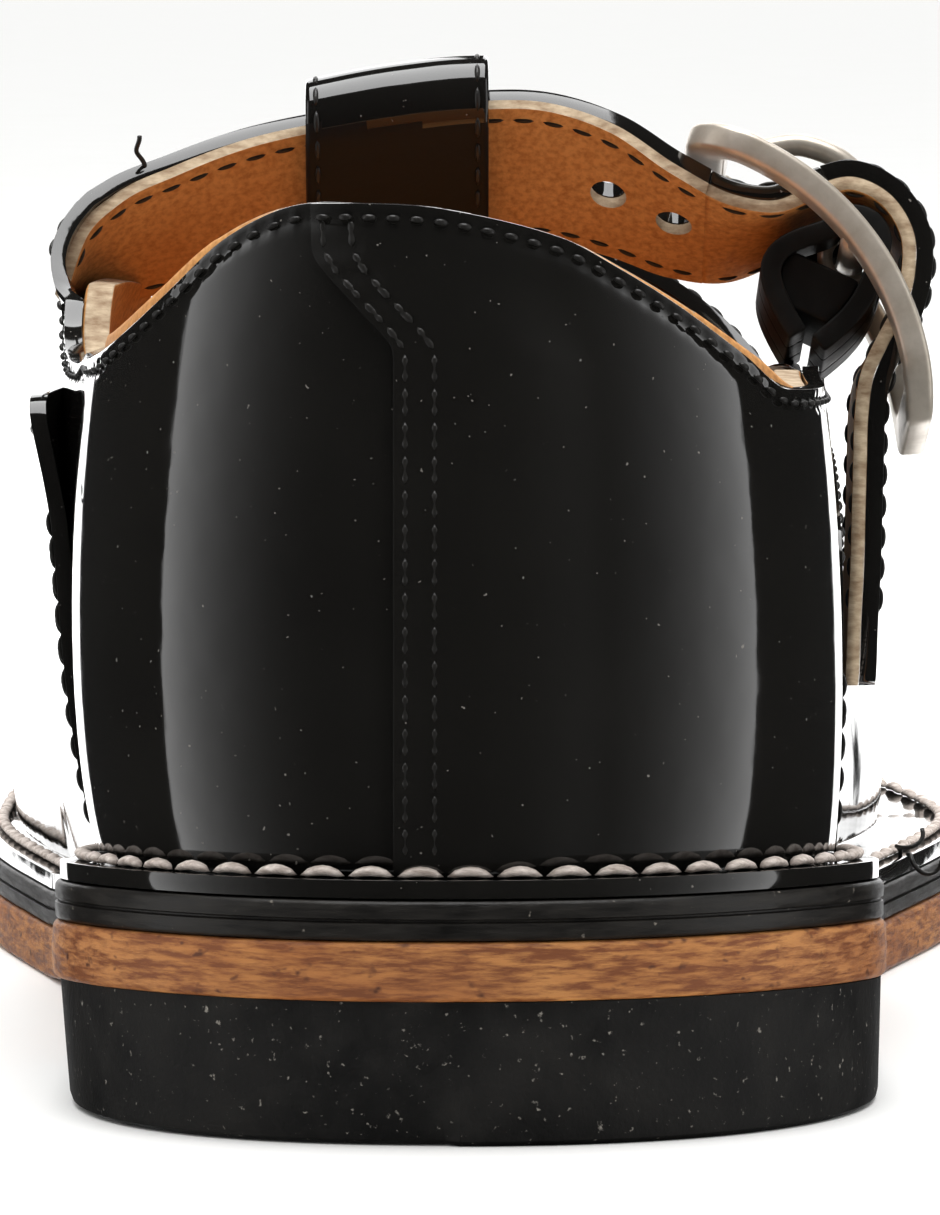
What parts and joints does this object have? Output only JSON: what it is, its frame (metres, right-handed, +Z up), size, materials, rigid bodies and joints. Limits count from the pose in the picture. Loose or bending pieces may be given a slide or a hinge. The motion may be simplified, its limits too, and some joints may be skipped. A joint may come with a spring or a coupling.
{
  "type": "t-bar buckle shoe",
  "caption": "Child's right shoe in black patent leather with a T-bar, a side buckle strap, a stitched leather sole and a low rubber heel.",
  "frame": {"origin": "middle of the bounding box, on the ground plane under the heel and the ball of the foot", "axes": "+Y from heel to toe, +X to the lateral side where the buckle is, +Z up"},
  "size_m": [0.078, 0.188, 0.0692],
  "materials": {
    "patent_leather": "black patent, mirror gloss over a soft grain",
    "lining_leather": "tan vegetable-tanned lining, matte",
    "sole_leather": "tan sole leather, fibrous trimmed edge",
    "welt_black": "black dyed edge, satin",
    "insole_board": "fibre board, matte",
    "stiffener": "fibre stiffener, matte",
    "heel_rubber": "black rubber, matte with fine grit",
    "welt_thread": "waxed linen thread",
    "nickel": "satin nickel plate",
    "steel": "plain steel"
  },
  "bodies": {
    "shoe": {"heel_block": "heel_rubber", "outsole": "sole_leather", "midsole": "welt_black", "insole_board": "insole_board", "sock_lining": "lining_leather", "vamp": "patent_leather", "quarter_medial": "patent_leather", "quarter_lateral": "patent_leather", "vamp_lining": "lining_leather", "quarter_lining_medial": "lining_leather", "quarter_lining_lateral": "lining_leather", "heel_counter": "stiffener", "toe_puff": "stiffener", "welt_thread": "welt_thread", "instep_strap": "patent_leather", "strap_lining": "lining_leather", "t_bar": "patent_leather", "buckle_chape": "patent_leather", "heel_nail_1": "steel", "heel_nail_2": "steel", "heel_nail_3": "steel", "heel_nail_4": "steel", "heel_nail_5": "steel"},
    "buckle": {"buckle_frame": "nickel"},
    "prong": {"buckle_prong": "nickel"},
    "strap_end": {"strap_tail": "patent_leather", "strap_tail_lining": "lining_leather"}
  },
  "joints": [
    {"name": "buckle_rock", "type": "hinge", "parent": "shoe", "child": "buckle", "pos_m": [0.02723, -0.019, 0.0547], "axis": [0, -0.9703, 0.2419], "range_deg": [-3, 12], "deforming": ["instep_strap", "strap_lining"]},
    {"name": "prong_lift", "type": "hinge", "parent": "buckle", "child": "prong", "pos_m": [0.02723, -0.019, 0.0547], "axis": [0, 0.9703, -0.2419], "range_deg": [0, 25], "deforming": ["instep_strap", "strap_lining"]},
    {"name": "strap_end_bend", "type": "hinge", "parent": "shoe", "child": "strap_end", "pos_m": [0.02767, -0.0216, 0.0406], "axis": [0, -1, 0], "range_deg": [0, 35], "stiffness_Nm_per_rad": 0.0005, "deforming": ["instep_strap", "strap_lining"]}
  ]
}
